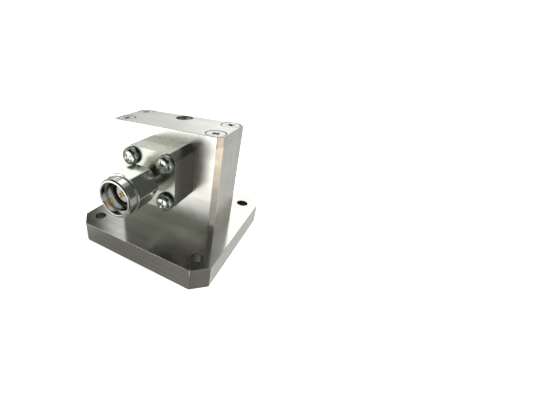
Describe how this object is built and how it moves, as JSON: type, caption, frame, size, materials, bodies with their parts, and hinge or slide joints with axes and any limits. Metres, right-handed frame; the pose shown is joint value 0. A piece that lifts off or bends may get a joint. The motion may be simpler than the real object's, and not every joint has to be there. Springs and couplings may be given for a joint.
{
  "type": "waveguide to coaxial adapter",
  "caption": "Right-angle adapter from a flanged rectangular waveguide to a coaxial plug with a free-turning hexagonal coupling nut.",
  "frame": {"origin": "middle of the flange's mating face, which lies on the ground plane", "axes": "+X along the wide side of the guide, +Z along the guide away from the mating face, the coaxial plug points to -Y"},
  "size_m": [0.0412, 0.0486, 0.0331],
  "materials": {
    "flange_metal": "fine machined",
    "body_metal": "fine machined",
    "cover_metal": "fine machined",
    "block_metal": "polished",
    "screw_steel": "polished",
    "shell_steel": "turned",
    "spring_steel": "plain",
    "nut_steel": "polished",
    "seal_rubber": "matt",
    "dielectric": "smooth",
    "gold": "gold plated"
  },
  "bodies": {
    "adapter": {"flange": "flange_metal", "guide_body": "body_metal", "cover_plate": "cover_metal", "connector_block": "block_metal", "set_screw": "screw_steel", "connector_shell": "shell_steel", "snap_ring": "spring_steel", "gasket": "seal_rubber", "dielectric_bead": "dielectric", "dielectric_sleeve": "dielectric", "centre_contact": "gold", "probe_sleeve": "gold", "cover_screw_front_left": "screw_steel", "cover_screw_front_right": "screw_steel", "cover_screw_rear_left": "screw_steel", "cover_screw_rear_right": "screw_steel", "block_screw_upper_left": "screw_steel", "block_screw_upper_right": "screw_steel", "block_screw_lower_left": "screw_steel", "block_screw_lower_right": "screw_steel"},
    "nut": {"coupling_nut": "nut_steel"}
  },
  "joints": [
    {"name": "nut_turn", "type": "hinge", "parent": "adapter", "child": "nut", "pos_m": [0.0026, -0.0232, 0.0236], "axis": [0, -1, 0], "continuous": true}
  ]
}
